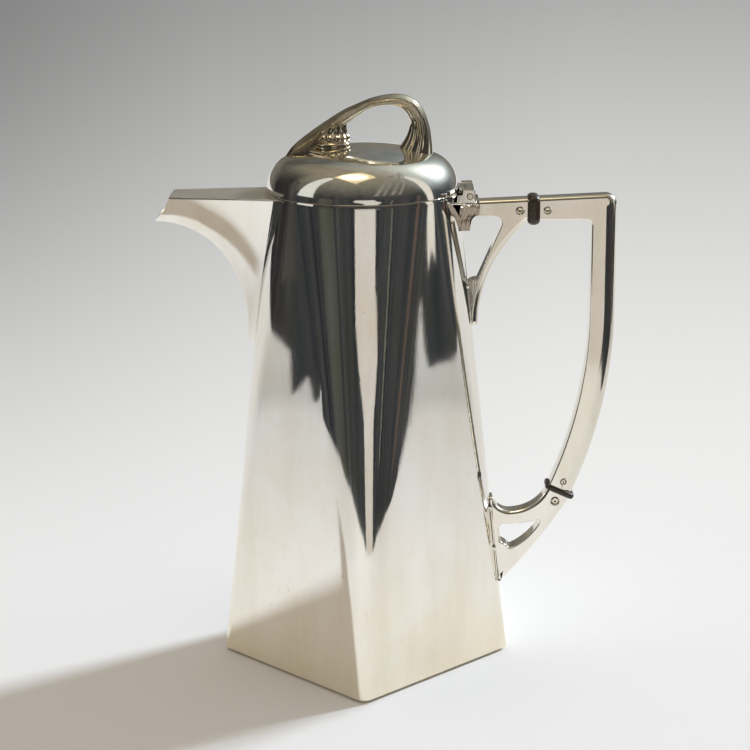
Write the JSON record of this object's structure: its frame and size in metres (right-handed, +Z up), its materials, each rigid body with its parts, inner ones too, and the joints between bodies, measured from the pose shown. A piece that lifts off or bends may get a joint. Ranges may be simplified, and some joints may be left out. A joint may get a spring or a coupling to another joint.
{
  "type": "silver coffee pot",
  "caption": "Tall silver coffee pot with a square foot that turns into a round mouth, a covered spout, a hinged lid with a looped knob and an insulated handle.",
  "frame": {"origin": "centre of the square foot, on the surface that the pot stands on", "axes": "+Z up; +X towards the handle, with the spout at -X; +Y completes the frame, so the handle, hinge and spout lie in the XZ plane and the corners of the foot lie on X and Y"},
  "size_m": [0.1894, 0.1212, 0.2391],
  "materials": {
    "silver_body": "polished silver with fine scratches",
    "silver_lid": "polished silver with light tarnish",
    "silver_handle": "polished silver, soft edges",
    "cast_silver": "cast silver with warm tarnish",
    "fastener": "filed flush",
    "insulator": "dark horn, waxed"
  },
  "bodies": {
    "pot": {"body_shell": "silver_body", "base_plate": "silver_body", "rim_bezel": "silver_body", "spout_shell": "silver_body", "spout_cover": "silver_body", "upper_socket": "silver_handle", "upper_socket_pin": "fastener", "upper_insulator": "insulator", "upper_grip_pin": "fastener", "handle_grip": "silver_handle", "lower_grip_pin": "fastener", "lower_insulator": "insulator", "lower_socket_pin": "fastener", "lower_socket": "silver_handle", "hinge_block": "silver_handle", "hinge_pin": "fastener"},
    "lid": {"hinge_leaf": "silver_handle", "lid_bezel": "silver_lid", "lid_dome": "silver_lid", "knob": "cast_silver", "knob_screws": "fastener", "knob_nuts": "fastener"}
  },
  "joints": [
    {"name": "lid_hinge", "type": "hinge", "parent": "pot", "child": "lid", "pos_m": [0.0434, 0, 0.1993], "axis": [0, 1, 0], "range_deg": [0, 100]}
  ]
}
